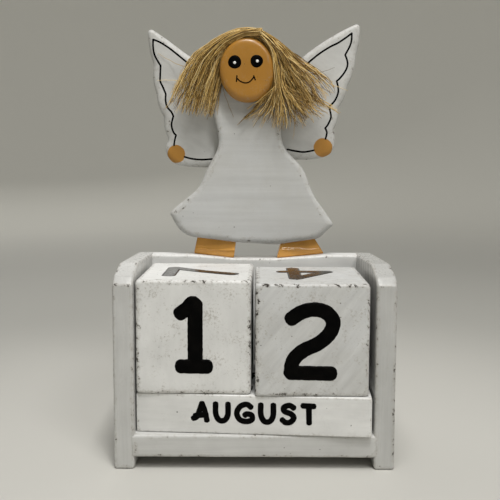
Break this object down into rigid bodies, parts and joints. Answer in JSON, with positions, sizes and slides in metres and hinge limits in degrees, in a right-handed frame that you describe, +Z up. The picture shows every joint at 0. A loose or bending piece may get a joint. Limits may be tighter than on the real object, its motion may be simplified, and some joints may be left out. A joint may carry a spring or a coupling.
{
  "type": "wooden perpetual calendar",
  "caption": "White painted wooden tray calendar with turnable number cubes and month bars, and a flat sawn angel figure with fibre hair on its back edge",
  "frame": {"origin": "On the table, at the middle of the tray's footprint", "axes": "X to the right seen from the front, Y from the open front to the back panel, Z up"},
  "size_m": [0.1118, 0.0716, 0.1857],
  "materials": {
    "white_paint": "White semi-gloss paint on wood, brushed on by hand, with chips at the edges",
    "tan_paint": "Tan semi-gloss paint on wood",
    "plant_fibre": "Loose sisal-like plant fibre in straw and brown",
    "steel_wire": "Plain drawn steel nails",
    "bare_wood": "Bare pale dowel wood"
  },
  "bodies": {
    "tray": {"left_side_panel": "white_paint", "right_side_panel": "white_paint", "shelf": "white_paint", "back_panel": "white_paint", "shelf_brads": "steel_wire", "back_panel_brads": "steel_wire", "left_foot": "tan_paint", "right_foot": "tan_paint", "foot_dowels": "bare_wood", "dress_board": "white_paint", "wing_board": "white_paint", "head_disc": "tan_paint", "left_hair_lock": "plant_fibre", "right_hair_lock": "plant_fibre"},
    "left_cube": {"left_day_cube": "white_paint"},
    "right_cube": {"right_day_cube": "white_paint"},
    "front_bar": {"front_month_bar": "white_paint"},
    "middle_bar": {"middle_month_bar": "white_paint"},
    "rear_bar": {"rear_month_bar": "white_paint"}
  },
  "joints": [
    {"name": "left_cube_lift", "type": "slide", "parent": "tray", "child": "left_cube", "axis": [0, 0, 1], "range_m": [0, 0.052]},
    {"name": "right_cube_lift", "type": "slide", "parent": "tray", "child": "right_cube", "axis": [0, 0, 1], "range_m": [0, 0.052]},
    {"name": "rear_bar_slide", "type": "slide", "parent": "tray", "child": "rear_bar", "axis": [0, -1, 0], "range_m": [0, 0.056]},
    {"name": "middle_bar_slide", "type": "slide", "parent": "rear_bar", "child": "middle_bar", "axis": [0, -1, 0], "range_m": [0, 0.04]},
    {"name": "front_bar_slide", "type": "slide", "parent": "middle_bar", "child": "front_bar", "axis": [0, -1, 0], "range_m": [0, 0.025]}
  ]
}
